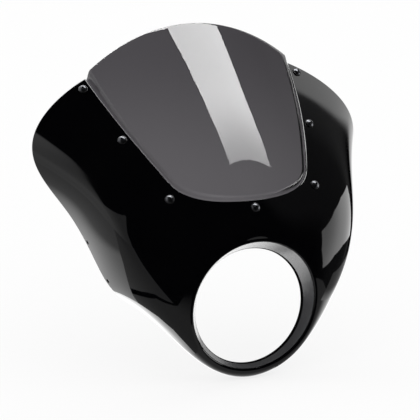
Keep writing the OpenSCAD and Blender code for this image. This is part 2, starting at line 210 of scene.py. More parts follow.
def moved(u, t, v):
    """The place on the face that lies the vector v away: v split along the face's two slopes."""
    a, b = along_u(u, t), along_t(u, t)
    aa, bb, ab, av, bv = dot(a, a), dot(b, b), dot(a, b), dot(a, v), dot(b, v)
    det = aa * bb - ab**2
    return u + ((av * bb - bv * ab) / det)[..., 0], t + ((bv * aa - av * ab) / det)[..., 0]


def rear_t(u):
    """The row that lies EDGE short of the rear edge, measured square to that edge."""
    a, b = along_u(u, 1.0), along_t(u, 1.0)
    return 1 - EDGE * (norm(a) / norm(np.cross(a, b)))[..., 0]


# The notch for the screen


def u_at_width(w, t):
    """Where row t of the face is w wide from side to side."""
    return root(lambda u: face(u, t)[0] - w / 2, 0.0, 3.0)


BOTTOM_T = root(lambda t: face(0.0, t)[2] - NOTCH_BOTTOM_H, 0.0, 1.0)
CORNER_T = root(lambda t: face(u_at_width(NOTCH_CORNER_W, t), t)[2] - NOTCH_CORNER_H, 0.2, 0.8)
CORNER_U = u_at_width(NOTCH_CORNER_W, CORNER_T)
TOP_U = u_at_width(NOTCH_TOP_W, 1.0)


def side_u(t):
    """The notch's side is straight on the face's own grid."""
    return CORNER_U + (TOP_U - CORNER_U) * (t - CORNER_T) / (1 - CORNER_T)


def side_along(t):
    """Unit vector up along the notch's side."""
    return unit(face(side_u(t + STEP), t + STEP) - face(side_u(t - STEP), t - STEP))


def side_inset(t):
    """The line EDGE outside the notch's side, on the same row."""
    u = side_u(t)
    return u + EDGE / norm(np.cross(along_u(u, t), side_along(t)))[..., 0]


TIP_T = 1.0
for _ in range(4):
    TIP_T = float(rear_t(side_inset(TIP_T)))


def notch(s):
    """The notch's outline, from its bottom on the centre line (s 0) round a superellipse corner
    (to s 1) and up the side to EDGE short of the rear edge (s 2)."""
    c = np.clip(s, 0, 1)
    p, q = c ** (CORNER_POWER / 2), (1 - c) ** (CORNER_POWER / 2)
    a = np.pi / 2 * p / (p + q)
    fall = np.clip(np.cos(a), 0, 1) ** (2 / CORNER_POWER)
    t = np.where(s > 1, mix(CORNER_T, TIP_T, s - 1), mix(CORNER_T, BOTTOM_T, fall))
    return side_u(t) * np.where(s > 1, 1, np.sin(a) ** (2 / CORNER_POWER)), t


def notch_along(s):
    """Unit vector along the outline, square to the centre plane at its bottom."""
    ahead, back = np.minimum(s + OUTLINE_STEP, 2), np.maximum(s - OUTLINE_STEP, 0)
    v = unit(face(*notch(ahead)) - face(*notch(back)))
    return np.where(np.asarray(s)[..., None] == 0, [1.0, 0, 0], v)


def into_notch(s):
    """Unit vector square to the outline, along the face, into the notch."""
    return unit(np.cross(normal(*notch(s)), notch_along(s)))


CORNER_INSET_T = moved(*notch(np.array(1.0)), -EDGE * into_notch(np.array(1.0)))[1]


def notch_inset(s):
    """The outline moved EDGE back onto the shell."""
    u, t = moved(*notch(s), -EDGE * into_notch(s))
    side_t = mix(CORNER_INSET_T, TIP_T, s - 1)
    return np.where(s < 1, u, side_inset(side_t)), np.where(s < 1, t, side_t)


# Grids of points become meshes


class Grids:
    """Collects grids of points (rows, columns, 3) whose faces point to column cross row."""

    def __init__(self):
        self.parts = []

    def add(self, points, flip=False, material=0, skip=()):
        """skip lists blocks of faces left out, as (first row, last row, first, last column)."""
        keep = np.ones((points.shape[0] - 1, points.shape[1] - 1), bool)
        for i0, i1, j0, j1 in skip:
            keep[i0:i1, j0:j1] = False
        self.parts.append((points, keep, flip, material))

    def object(self, name, materials, halves=True, sharp=None):
        """One mesh of all the grids, and of their mirror images where halves is true. Points
        that meet are merged."""
        points, faces, slots, count = [], [], [], 0
        for grid, keep, flip, material in self.parts:
            for side in (1, -1) if halves else (1,):
                index = count + np.arange(grid.shape[0] * grid.shape[1]).reshape(grid.shape[:2])
                quads = np.stack([index[:-1, :-1], index[:-1, 1:], index[1:, 1:],
                                  index[1:, :-1]], -1)[keep]
                points.append((grid * [side, 1, 1]).reshape(-1, 3))
                faces.append(quads[:, ::-1] if flip != (side < 0) else quads)
                slots.append(np.full(len(quads), material))
                count += index.size
        mesh = bpy.data.meshes.new(name)
        mesh.from_pydata(np.concatenate(points) * MM, [], np.concatenate(faces))
        mesh.polygons.foreach_set("material_index", np.concatenate(slots))
        mesh.polygons.foreach_set("use_smooth", np.ones(len(mesh.polygons), bool))
        merged = bmesh.new()
        merged.from_mesh(mesh)
        bmesh.ops.remove_doubles(merged, verts=merged.verts, dist=MERGE)
        merged.to_mesh(mesh)
        merged.free()
        if sharp:
            mesh.set_sharp_from_angle(angle=np.radians(sharp))
        for material in materials:
            mesh.materials.append(material)
        piece = bpy.data.objects.new(name, mesh)
        bpy.context.scene.collection.objects.link(piece)
        return piece


def rim(outer, inner, way, edge=EDGE, rows=8):
    """A half ellipse from the outer edge line over to the inner one, edge wide along way."""
    turn = np.linspace(0, np.pi, rows + 1)[:, None, None]
    return (outer + inner) / 2 + (outer - inner) / 2 * np.cos(turn) + edge * way * np.sin(turn)


def fanned(line, count):
    """Repeats the corner where a line turns: the last column of each part but the last."""
    first, *rest = line
    return np.concatenate([first, *(np.concatenate([np.repeat(a[-1:], count, 0), b])
                                    for a, b in zip(line[:-1], rest))])


def turned(first, second, count):
    """Unit vectors that turn evenly from one way to another."""
    share = np.arange(1, count + 1)[:, None] / (count + 1)
    return unit(mix(first, second, share))


def block_round(points, centre, reach, centred):
    """First and last row and column of the smallest block of a grid whose border stays out of
    reach of a centre. A centred block starts at the centre line."""
    far = norm(points - centre)[..., 0]
    i0, j0 = np.unravel_index(np.argmin(far), far.shape)
    i1, j1 = i0, j0
    while True:
        near = [far[i0, j0:j1 + 1].min() < reach, far[i1, j0:j1 + 1].min() < reach,
                not centred and far[i0:i1 + 1, j0].min() < reach,
                far[i0:i1 + 1, j1].min() < reach]
        if not any(near):
            return i0, i1, j0, j1
        i0, i1, j0, j1 = i0 - near[0], i1 + near[1], j0 - near[2], j1 + near[3]


def punch(grids, u, t, depths, place, r, material=(0, 0)):
    """Bores one hole through both skins. A strip runs from the border of a block of left-out
    faces to the hole's rounded edge, down its wall and out again on the other skin. Returns the
    block."""
    centre, n = face(*place), normal(*place)
    e1 = unit(along_u(*place))
    e2 = np.cross(n, e1)
    centred = place[0] == 0
    block = i0, i1, j0, j1 = block_round(face(u, t), centre, r + 5 * HOLE_SOFT, centred)
    down = [] if centred else [(i, j0) for i in range(i1 - 1, i0 - 1, -1)]
    loop = np.array([(i0, j) for j in range(j0, j1 + 1)] + [(i, j1) for i in range(i0 + 1, i1 + 1)]
                    + [(i1, j) for j in range(j1 - 1, j0 - 1, -1)] + down)
    lu, lt = u[loop[:, 0], loop[:, 1]], t[loop[:, 0], loop[:, 1]]
    spoke = face(lu, lt) - centre
    angle = np.arctan2(dot(spoke, e2), dot(spoke, e1))
    way = np.cos(angle) * e1 + np.sin(angle) * e2
    top, bottom = depths
    rows = [(1.0, top), (HOLE_SOFT, top), (HOLE_SOFT * 0.3, top + HOLE_SOFT * 0.3),
            (0, top + HOLE_SOFT)]
    rows += [(w, top + bottom - d) for w, d in rows[::-1]]
    strip = np.stack([behind(lu, lt, top)]
                     + [behind(*moved(*place, (r + w) * way), d) for w, d in rows]
                     + [behind(lu, lt, bottom)])
    grids.add(strip[:5], material=material[0])
    grids.add(strip[4:], material=material[1])
    return block


# Places of the fasteners and the bracket holes on the right half of the face


def side_screw(h):
    """SCREW_INSET outside the notch's side, beside the height h of its edge."""
    t = root(lambda t: face(side_u(t), t)[2] - h, CORNER_T, 1.0)
    return moved(side_u(t), t, -SCREW_INSET * unit(np.cross(normal(side_u(t), t), side_along(t))))


def corner_screw():
    """CORNER_INSET outside the notch's corner."""
    s = np.array(CORNER_SCREW)
    return moved(*notch(s), -CORNER_INSET * into_notch(s))


def bracket_place(h):
    """BRACKET_SETBACK in from the rear edge, at the height h of that edge."""
    u = root(lambda u: h - face(u, 1.0)[2], TOP_U, CHIN - 0.5)
    return moved(u, 1.0, -BRACKET_SETBACK * unit(np.cross(normal(u, 1.0), along_u(u, 1.0))))


def centre_screw():
    """SCREW_INSET under the notch's bottom, on the centre line."""
    u, t = moved(*notch(np.array(0.0)), -SCREW_INSET * into_notch(np.array(0.0)))
    return 0.0, float(t)


SCREW_PLACES = [tuple(float(x) for x in place) for place in
                (side_screw(UPPER_SCREW_H), side_screw(MIDDLE_SCREW_H), corner_screw(),
                 centre_screw())]
BRACKET_PLACES = [tuple(float(x) for x in bracket_place(h)) for h in BRACKET_HEIGHTS]


# The shell


def collar_line(u, depth):
    """The collar's wall at a depth behind its visible side, from the land's rear edge to the
    face: the land, a small corner, the cone, and a cubic round the lip."""
    a = clock(u)
    slope = radial(a, np.sin(COLLAR_FLARE), -np.cos(COLLAR_FLARE))
    y = LAND_BACK - LAND_L
    r = OPENING_R
    if depth:
        r += depth - BORE_STOCK
        y += BORE_STOCK / np.tan(COLLAR_FLARE) + depth * np.tan(COLLAR_FLARE / 2)
    foot = radial(a, r, y)
    lip = radial(a, collar_r(a) + depth * np.cos(COLLAR_FLARE),
                 -collar_deep(a) + depth * np.sin(COLLAR_FLARE))
    start = behind(u, 0.0, depth)
    arm = LIP_ARM * (LIP_ROUND - depth)
    rows = [radial(a, r, mix(LAND_BACK - EDGE, y + LAND_SOFT, share))
            for share in (0, 0.2, 0.6, 1)]
    rear = foot + [0, LAND_SOFT, 0]
    front = foot + LAND_SOFT * slope
    rows += [mix(mix(rear, foot, share), mix(foot, front, share), share)
             for share in (0.25, 0.5, 0.75, 1)]
    rows += [mix(front, lip, share) for share in (0.08, 0.25, 0.5, 0.75, 0.97)]
    ahead = start - arm * unit(along_t(u, 0.0))
    rows += [curve(lip, lip + arm * slope, ahead, start, share)
             for share in np.linspace(0, 1, 15)]
    return np.stack(rows)


# In collar_line, the last row of the cut edge, which runs a little on to the cone, and the
# last row of the cone
CUT_END, CONE_END = 8, 12


def shell_places():
    """Two grids of places on the right half of the face. Under the notch, rows run from the lip
    to the outline. Beyond it, rows run from the lip to the corner and on up to the rear edge,
    and columns from the notch's side round to the chin."""
    s = np.linspace(0, 1, CORNER_POINTS)
    # A row close to each edge keeps the skin's shading flat up to its rim
    low = np.append(np.linspace(0, 1, FACE_ROWS)[:-1], (0.993, 1.0))[:, None]
    end_u, end_t = notch_inset(s)
    under = mix(side_u(0.0) * s, end_u, low), end_t * low
    high = 1 + np.append(np.linspace(0, 1, FACE_ROWS)[1:-1], (0.996, 1.0))
    side, row_t = notch_inset(high)
    start_u = np.concatenate([under[0][:, -1], side])[:, None]
    start_t = np.concatenate([under[1][:, -1], row_t])[:, None]
    share = np.insert(np.linspace(0, 1, WING_COLUMNS) ** 1.2, 1, 0.0013)
    u = mix(start_u, CHIN, share)
    return under, (u, start_t * rear_t(u) / rear_t(start_u))


def shell_grids():
    """Two skins WALL apart with their holes, the collar, and rims along the notch, the rear edge
    and the land. Materials: 0 the face, 1 the back, 2 the collar's cone, 3 its cut edge."""
    grids = Grids()
    under, beyond = shell_places()
    holes = [(place, HOLE_R) for place in SCREW_PLACES]
    holes += [(place, BRACKET_HOLE_R) for place in BRACKET_PLACES]
    for u, t in (under, beyond):
        inside = [(p, r) for p, r in holes if (p[0] == 0) == (u is under[0])]
        skip = [punch(grids, u, t, (0, WALL), place, r, (0, 1)) for place, r in inside]
        grids.add(face(u, t), skip=skip)
        grids.add(behind(u, t, WALL), flip=True, material=1, skip=skip)
        outer, inner = collar_line(u[0], 0), collar_line(u[0], WALL)
        grids.add(outer[:CUT_END + 1], material=3)
        grids.add(outer[CUT_END:CONE_END + 1], material=2)
        grids.add(outer[CONE_END:])
        grids.add(inner, flip=True, material=1)
        grids.add(rim(outer[0], inner[0], np.array([0, 1.0, 0])), flip=True, material=1)
    s = np.concatenate([np.linspace(0, 1, CORNER_POINTS), 1 + np.linspace(0, 1, FACE_ROWS)[1:-1],
                        [1.996, 2.0]])
    place = notch_inset(s)
    rear = beyond[0][-1], beyond[1][-1]
    side_way = into_notch(s)
    rear_way = unit(np.cross(normal(*rear), along_u(*rear)))
    side_way[0, 0] = rear_way[-1, 0] = 0
    outer = fanned([face(*place), face(*rear)], FAN)
    inner = fanned([behind(*place, WALL), behind(*rear, WALL)], FAN)
    way = np.concatenate([unit(side_way), turned(side_way[-1], rear_way[0], FAN),
                          unit(rear_way)])
    grids.add(rim(outer, inner, way))
    return grids


# The screen

UNDER = WALL + FLANGE_GAP
ORIGIN = face(0.0, BOTTOM_T)
RAKE = np.array([0, np.cos(SCREEN_RAKE), np.sin(SCREEN_RAKE)])
LIFT = np.array([0, -np.sin(SCREEN_RAKE), np.cos(SCREEN_RAKE)])
STEP_RUN = NOTCH_GAP + STEP_W


def sheet_height(x):
    """The raised centre is bent to a radius about a raked line over the centre plane."""
    return SCREEN_LIFT - SCREEN_BEND_R + np.sqrt(SCREEN_BEND_R**2 - x**2)


def sheet_normal(x):
    """Unit vector square to the raised centre, outward."""
    k = x / SCREEN_BEND_R
    return k * [1.0, 0, 0] + np.sqrt(1 - k**2) * LIFT


def sheet(x, up, depth=0.0):
    """A point of the raised centre at x across and the distance up along the rake."""
    return (ORIGIN + x * [1.0, 0, 0] + up * RAKE + sheet_height(x) * LIFT
            - depth * sheet_normal(x))


def sheet_top(x):
    """The way up the rake to EDGE short of the screen's top edge, which is level."""
    return ((SCREEN_TOP_Y - ORIGIN[1] + sheet_height(x) * np.sin(SCREEN_RAKE))
            / np.cos(SCREEN_RAKE) - EDGE)


def flange_at(s):
    """The flange is wider outside each corner, by a squared cosine bump."""
    off = np.minimum(1, np.abs(s - CORNER_SCREW) / CORNER_SPREAD)
    return mix(FLANGE_W, CORNER_FLANGE_W, np.cos(np.pi / 2 * off) ** 2)


def screen_skins(s):
    """Both skins of the screen's right half, column by column along the notch's outline: rows
    over the flange, up the step and over the raised centre to the centre line. The step is a
    cubic that leaves the flange towards the notch's middle and arrives along the centre."""
    frame_u, frame_t = notch(s)
    point, n = face(frame_u, frame_t), normal(frame_u, frame_t)
    along, into = notch_along(s), into_notch(s)
    into[0, 0] = n[0, 0] = 0
    into, n = unit(into), unit(n)
    head = point + STEP_RUN * into - ORIGIN
    x = head[:, :1]
    x[0] = 0
    share = dot(head, RAKE) / sheet_top(x)
    share = share / share[-1]
    core = mix(share[0, 0] + CORE_RISE, 1.0, (s / 2)[:, None])

    rows = np.linspace(1, 0, 15)[:, None]
    width = (flange_at(s) - EDGE) * rows
    square_u, square_t = moved(frame_u, frame_t, -width[..., None] * into)
    level_u = frame_u + width / norm(np.cross(along_u(frame_u, frame_t), along))[..., 0]
    rise = np.clip((s - 1.5) / 0.5, 0, 1)
    blend = rise**2 * (3 - 2 * rise)
    fu, ft = mix(square_u, level_u, blend), mix(square_t, frame_t, blend)
    ft = np.where(s > 1, ft * rear_t(fu) / rear_t(frame_u), ft)

    head_in = unit(np.cross(sheet_normal(x), along))
    up = np.linspace(0, 1, 17)[1:, None, None]
    over = np.linspace(0, 1, 41)[1:, None, None]
    x_in = x * (1 - over)
    up_in = mix(share, core, over)
    skins = []
    # The handles of the step's cubic, in widths of the step, differ between the two skins
    for depth, foot_arm, head_arm in ((0, 0.35, 0.85), (SCREEN_T, 0.8, 0.4)):
        flange = behind(fu, ft, UNDER + depth)
        foot = point + NOTCH_GAP * into - (UNDER + depth) * n
        head = sheet(x, share * sheet_top(x), depth)
        step = curve(foot, foot + foot_arm * STEP_W * into,
                     head - head_arm * STEP_W * head_in, head, up)
        centre = sheet(x_in, up_in * sheet_top(x_in), depth)
        skins.append(np.concatenate([flange[:-1], foot[None], step, centre]))
    return skins, (fu, ft)


def screen_grids():
    """Both skins with their holes, and one rim round the flange's edge and the top edge."""
    grids = Grids()
    s = np.concatenate([np.linspace(0, 1, 61), 1 + np.linspace(0, 1, 61)[1:]])
    (outer, inner), (u, t) = screen_skins(s)
    skip = [punch(grids, u, t, (UNDER, UNDER + SCREEN_T), place, HOLE_R)
            for place in SCREW_PLACES]
    grids.add(outer, skip=skip)
    grids.add(inner, flip=True, skip=skip)
    edge_out, top_out = outer[0], outer[:, -1]
    edge_in, top_in = inner[0], inner[:, -1]
    tangents = np.gradient(edge_out, axis=0), np.gradient(top_out, axis=0)
    ways = [np.cross(unit(tangent), unit(a - b)) for tangent, a, b in
            ((tangents[0], edge_out, edge_in), (tangents[1], top_out, top_in))]
    ways[0][0, 0] = ways[1][-1, 0] = 0
    ways = [unit(way) for way in ways]
    way = np.concatenate([ways[0], turned(ways[0][-1], ways[1][0], FAN), ways[1]])
    grids.add(rim(fanned([edge_out, top_out], FAN), fanned([edge_in, top_in], FAN), way),
              flip=True)
    return grids


# The fasteners


def sag(place, r, depth, way):
    """How far a flat ring of radius r must stand off the face at a depth to clear it: the most
    that the face drops (way 1) or rises (way -1) round the ring."""
    a = np.radians(np.arange(0, 360, 30))[:, None]
    n, e = normal(*place), unit(along_u(*place))
    ring = moved(*place, r * (np.cos(a) * e + np.sin(a) * np.cross(n, e)))
    return max(0.0, float((way * dot(behind(*place, depth) - behind(*ring, depth), n)).max()))


UNDER_SCREEN = UNDER + SCREEN_T


def layers(place):
    """Heights over the face of the washer, the head, the pad and the nut."""
    washer = SEAT_GAP + sag(place, WASHER_R, 0, -1)
    pad = -UNDER_SCREEN - SEAT_GAP - sag(place, PAD_R, UNDER_SCREEN, 1) - PAD_T
    return washer, washer + WASHER_T + SEAT_GAP, pad, pad - SEAT_GAP - NUT_H


def hexagon(across, angle):
    """Radius of a hexagon of that width across its flats, at each angle."""
    return across / 2 / np.cos((angle % (np.pi / 3)) - np.pi / 6)


TURN = np.linspace(0, 2 * np.pi, 49)


def revolved(place, r, z):
    """A profile carried round the axis that stands on a place of the face. r and z are rows of
    radii and heights, and each radius may change with the angle."""
    n, e1 = normal(*place), unit(along_u(*place))
    e2 = np.cross(n, e1)
    r, z = np.broadcast_arrays(np.asarray(r, float), np.asarray(z, float))
    angle = TURN[:, None]
    spoke = np.cos(angle) * e1 + np.sin(angle) * e2
    return face(*place) + r[..., None] * spoke + z[..., None] * n


def column(values):
    """One row for each value, which is the same at every angle."""
    return np.asarray(values, float)[:, None] + 0 * TURN


def screw_grid(place):
    """A domed head with a hexagon socket, and a shank whose thread is a cosine of height less
    angle, one pitch to the turn."""
    _, head, _, nut = layers(place)
    dome = (HEAD_R**2 + HEAD_H**2) / (2 * HEAD_H)
    crown = head + HEAD_RIM_H + HEAD_H
    floor = crown - SOCKET_DEEP
    socket = hexagon(SOCKET_W, TURN)
    mouth = socket * SOCKET_MOUTH
    share = np.linspace(0, 1, 13)[:, None]
    cap_r = mix(mouth, HEAD_R - HEAD_SOFT, share)
    cap_z = crown - dome + np.sqrt(dome**2 - cap_r**2)
    rows_r = [column([0.01]), socket[None], socket[None], cap_r]
    rows_z = [column([floor - SOCKET_POINT]), column([floor]), cap_z[:1] - 0.06, cap_z]
    edge_r = [HEAD_R - 0.03, HEAD_R, HEAD_R, HEAD_R - HEAD_SOFT, SHANK_R + 0.1, SHANK_R]
    edge_z = [head + HEAD_RIM_H + 0.02, head + HEAD_RIM_H - 0.1, head + HEAD_SOFT, head, head,
              head - 0.1]
    rows_r.append(column(edge_r))
    rows_z.append(column(edge_z))
    tip = nut - THREAD_END
    z = np.linspace(head - PLAIN_SHANK, tip + TIP_H, 97)[:, None] + 0 * TURN
    wave = 0.5 - 0.5 * np.cos(2 * np.pi * z / THREAD_PITCH - TURN)
    fade = np.clip((head - PLAIN_SHANK - z) / THREAD_PITCH, 0, 1)
    rows_r.append(SHANK_R - THREAD_BITE * wave * fade)
    rows_z.append(z)
    rows_r.append(column([SHANK_R - TIP_CUT, 0.01]))
    rows_z.append(column([tip, tip]))
    return revolved(place, np.concatenate(rows_r), np.concatenate(rows_z))


def ring_grid(place, r, t, z, soft):
    """A flat ring round the shank with rounded edges: a closed profile."""
    corner = np.linspace(0, np.pi / 2, 5)
    side = [(r - soft + soft * np.sin(a), z + t - soft + soft * np.cos(a)) for a in corner]
    side += [(r - soft + soft * np.cos(a), z + soft - soft * np.sin(a)) for a in corner]
    mouth, middle = RING_BORE_R + BORE_SOFT, mix(RING_BORE_R, r, 0.5)
    bore = [(mouth, z), (RING_BORE_R, z + BORE_SOFT), (RING_BORE_R, z + t - BORE_SOFT),
            (mouth, z + t)]
    profile = np.array([(mouth, z + t), (middle, z + t), *side, (middle, z), *bore])
    return revolved(place, column(profile[:, 0]), column(profile[:, 1]))


def nut_grids(place):
    """A hexagon cut back by a cone at each end, with a round collar that holds a nylon ring."""
    z = layers(place)[3]
    hexed = hexagon(NUT_W, TURN)
    chamfer = NUT_W / 2 * NUT_CHAMFER
    top, seat = z + NUT_H, z + NUT_COLLAR_H
    cone = np.array([0, 0.12, 0.28, 0.45, 0.6])
    rise = cone / np.tan(np.radians(30))
    upper = np.minimum(hexed, chamfer + rise[:, None])
    lower = upper[::-1]
    collar_top = NUT_W / 2 * NUT_COLLAR
    metal_r = np.concatenate([column([RING_BORE_R, RING_BORE_R + 0.3]), upper, lower,
                              column([collar_top, collar_top, collar_top - 0.12,
                                      collar_top - 0.35, collar_top - 0.6])])
    metal_z = np.concatenate([column([top - 0.3, top]), column(top - cone),
                              column(seat + cone[::-1]),
                              column([seat - 0.05, z + 0.4, z + 0.12, z, z + 0.02])])
    insert_r = column([collar_top - 0.6, RING_BORE_R + 0.15, RING_BORE_R, RING_BORE_R,
                       RING_BORE_R])
    insert_z = column([z + 0.12, z + 0.12, z + 0.25, z + 1.5, top - 0.3])
    joint = revolved(place, column([collar_top - 0.6, collar_top - 0.6]),
                     column([z + 0.02, z + 0.12]))
    return revolved(place, metal_r, metal_z), joint, revolved(place, insert_r, insert_z)


# Materials


def linear(code):
    """An sRGB hex colour as linear red, green, blue and alpha."""
    c = np.array([int(code[k:k + 2], 16) for k in (1, 3, 5)]) / 255
    return (*np.where(c <= 0.04045, c / 12.92, ((c + 0.055) / 1.055) ** 2.4), 1.0)


def add_node(tree, kind, inputs=(), **settings):
    """Adds a node, gives it its settings, and sets or links its inputs by name or number."""
    made = tree.nodes.new(kind)
    for name, value in settings.items():
        setattr(made, name, value)
    for name, value in dict(inputs).items():
        if isinstance(value, bpy.types.NodeSocket):
            tree.links.new(value, made.inputs[name])
        else:
            made.inputs[name].default_value = value
    return made


def ramp(tree, value, start, end, first=0.0, last=1.0, kind="SMOOTHSTEP"):
    """A level that goes from first to last while the value goes from start to end."""
    return add_node(tree, "ShaderNodeMapRange",
                    {"Value": value, "From Min": start, "From Max": end, "To Min": first,
                     "To Max": last}, interpolation_type=kind).outputs[0]


def math(tree, operation, *values):
    """One step of arithmetic."""
    return add_node(tree, "ShaderNodeMath", dict(enumerate(values)),
                    operation=operation).outputs[0]


def node_material(name):
    """A new material, its empty node tree and the object's coordinates in it."""
    material = bpy.data.materials.new(name)
    material.use_nodes = True
    tree = material.node_tree
    tree.nodes.clear()
    return material, tree, add_node(tree, "ShaderNodeTexCoord").outputs["Object"]


def surface(name, constants, build, fill=()):
    """A material with one Principled shader. constants stand on its own sockets; build gets the
    tree and the object's coordinates, and returns the linked ones. fill gives the sockets of
    the absorption in its volume, where it has one."""
    material, tree, place = node_material(name)
    shader = add_node(tree, "ShaderNodeBsdfPrincipled", {**constants, **build(tree, place)})
    sink = {"Surface": shader.outputs[0]}
    if fill:
        sink["Volume"] = add_node(tree, "ShaderNodeVolumeAbsorption", fill).outputs[0]
    add_node(tree, "ShaderNodeOutputMaterial", sink)
    return material


def grain(tree, place, size_mm, detail=2.0):
    """Noise whose features are about size_mm wide."""
    return add_node(tree, "ShaderNodeTexNoise",
                    {"Vector": place, "Scale": 1 / (size_mm * MM), "Detail": detail}
                    ).outputs["Fac"]


def spread(tree, fac, low, high):
    """The middle of the noise's range, where most of it lies, stretched to a range of values."""
    return ramp(tree, fac, 0.35, 0.65, low, high, "LINEAR")


def two_tone(tree, fac, first, second):
    """Two colours mixed by a factor."""
    return add_node(tree, "ShaderNodeMix", {0: fac, 6: linear(first), 7: linear(second)},
                    data_type="RGBA").outputs[2]


def bump(tree, height, depth_mm):
    """Relief of that depth for shapes too small to model."""
    return add_node(tree, "ShaderNodeBump", {"Height": height, "Distance": depth_mm * MM,
                                             "Strength": 1.0}).outputs[0]


def lacquered_abs():
    """Black ABS under clear lacquer: a deep gloss with faint orange peel."""
    def build(tree, place):
        peel = grain(tree, place, 4.0)
        wipe = grain(tree, place, 60.0, 4.0)
        return {"Base Color": two_tone(tree, wipe, "#020203", "#040405"),
                "Roughness": spread(tree, wipe, 0.03, 0.055),
                "Normal": bump(tree, peel, 0.004)}
    return surface("lacquered ABS gloss", {"IOR": 1.5}, build)


def masked_abs():
    """The collar's wall, masked off from the lacquer: an even half gloss with a faint speckle,
    dark when seen from the front and pale when seen along its length."""
    def build(tree, place):
        speckle = grain(tree, place, 1.4, 3.0)
        return {"Base Color": two_tone(tree, speckle, "#343436", "#3e3e40"),
                "Roughness": spread(tree, speckle, 0.18, 0.26),
                "Normal": bump(tree, speckle, 0.012)}
    return surface("moulded ABS half gloss",
                   {"IOR": 1.85, "Sheen Weight": 0.4, "Sheen Roughness": 0.3}, build)


def turned_abs():
    """The opening's cut edge: a dead black without shine, which draws a dark line."""
    def build(tree, place):
        marks = grain(tree, place, 0.5)
        return {"Base Color": two_tone(tree, marks, "#060606", "#0b0b0b"),
                "Roughness": spread(tree, marks, 0.7, 0.85),
                "Normal": bump(tree, marks, 0.01)}
    return surface("turned ABS dull", {"Specular IOR Level": 0.0}, build)


def moulded_abs():
    """The back of the moulding, as it left the tool: a satin black with a fine even grain."""
    def build(tree, place):
        fine = grain(tree, place, 0.9, 3.0)
        return {"Base Color": two_tone(tree, grain(tree, place, 40.0), "#151516", "#1d1d1e"),
                "Roughness": spread(tree, fine, 0.38, 0.5),
                "Normal": bump(tree, fine, 0.03)}
    return surface("moulded ABS satin", {"IOR": 1.5}, build)


def smoked_pmma():
    """Extruded acrylic sheet in dark grey, formed and polished: a hard clear gloss. The smoke is
    in the sheet, so that an edge, or a wall seen along its length, is black. Low on the screen the
    tint is paler, painted light that stands for a little more light coming through."""
    def build(tree, place):
        haze = grain(tree, place, 80.0, 3.0)
        height = add_node(tree, "ShaderNodeSeparateXYZ", {0: place}).outputs["Z"]
        # Painted light: the tint is paler low on the screen, to stand for more light coming
        # through
        low = ramp(tree, height, 0.34, 0.17)
        return {"Base Color": two_tone(tree, low, "#d6d5d7", "#ffffff"),
                "Roughness": spread(tree, haze, 0.0, 0.01)}
    return surface("smoked PMMA polished", {"IOR": 1.49, "Transmission Weight": 1.0}, build,
                   {"Color": (0.03, 0.01, 0.04, 1.0), "Density": 685.0})


def blackened_steel():
    """Black-passivated steel: dark and half dull, with light and dark spots of wear."""
    def build(tree, place):
        wear = grain(tree, place, 1.2, 3.0)
        return {"Base Color": two_tone(tree, wear, "#535457", "#5d5e61"),
                "Roughness": spread(tree, wear, 0.28, 0.34),
                "Normal": bump(tree, wear, 0.006)}
    return surface("blackened steel", {"Metallic": 1.0}, build)


def moulded_nylon():
    """Black nylon: waxy, with a soft broad sheen."""
    def build(tree, place):
        fine = grain(tree, place, 0.8)
        return {"Base Color": two_tone(tree, fine, "#101011", "#19191a"),
                "Roughness": spread(tree, fine, 0.4, 0.5),
                "Normal": bump(tree, fine, 0.01)}
    return surface("moulded nylon", {"IOR": 1.53}, build)


def moulded_rubber():
    """EPDM rubber: matt charcoal with a dusty bloom."""
    def build(tree, place):
        bloom = grain(tree, place, 1.5, 4.0)
        return {"Base Color": two_tone(tree, bloom, "#1a1a1a", "#282827"),
                "Roughness": spread(tree, bloom, 0.7, 0.85),
                "Normal": bump(tree, bloom, 0.02)}
    return surface("moulded rubber", {"IOR": 1.52}, build)


def plated_steel():
    """Zinc plate on steel: a pale cool grey, softly mottled."""
    def build(tree, place):
        mottle = grain(tree, place, 0.7, 4.0)
        return {"Base Color": two_tone(tree, mottle, "#b4b7bb", "#cdd0d3"),
                "Roughness": spread(tree, mottle, 0.24, 0.36),
                "Normal": bump(tree, mottle, 0.008)}
    return surface("zinc plated steel", {"Metallic": 1.0}, build)


def insert_nylon():
    """The nut's locking ring: natural nylon, milky white."""
    def build(tree, place):
        milky = grain(tree, place, 1.0)
        return {"Base Color": two_tone(tree, milky, "#c9c8c0", "#d8d7cf"),
                "Roughness": spread(tree, milky, 0.42, 0.5)}
    return surface("natural nylon", {"IOR": 1.53}, build)


# The object


GLOSS, SATIN, WALLED, TURNED = lacquered_abs(), moulded_abs(), masked_abs(), turned_abs()
SMOKE = smoked_pmma()
STEEL, NYLON, RUBBER, ZINC, INSERT = (blackened_steel(), moulded_nylon(), moulded_rubber(),
                                      plated_steel(), insert_nylon())


def stands_for(piece, node, slot):
    """The piece takes the place of a node: it hangs from the root body, and the node is hidden.
    The slot is not used.
    """
    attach(piece, "root")
    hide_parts(node)


stands_for(shell_grids().object("cowl_shell", [GLOSS, SATIN, WALLED, TURNED]),
           "shell", "moulded_shell")
stands_for(screen_grids().object("cowl_screen", [SMOKE]), "screen", "smoked_screen")


def single(name, materials, *parts, left=False):
    """A fastener of one or more grids, on the right half or mirrored to the left."""
    grids = Grids()
    for k, part in enumerate(parts):
        grids.add(part * [-1 if left else 1, 1, 1], flip=left, material=min(k // 2, 1))
    return grids.object(name, materials, halves=False, sharp=35)


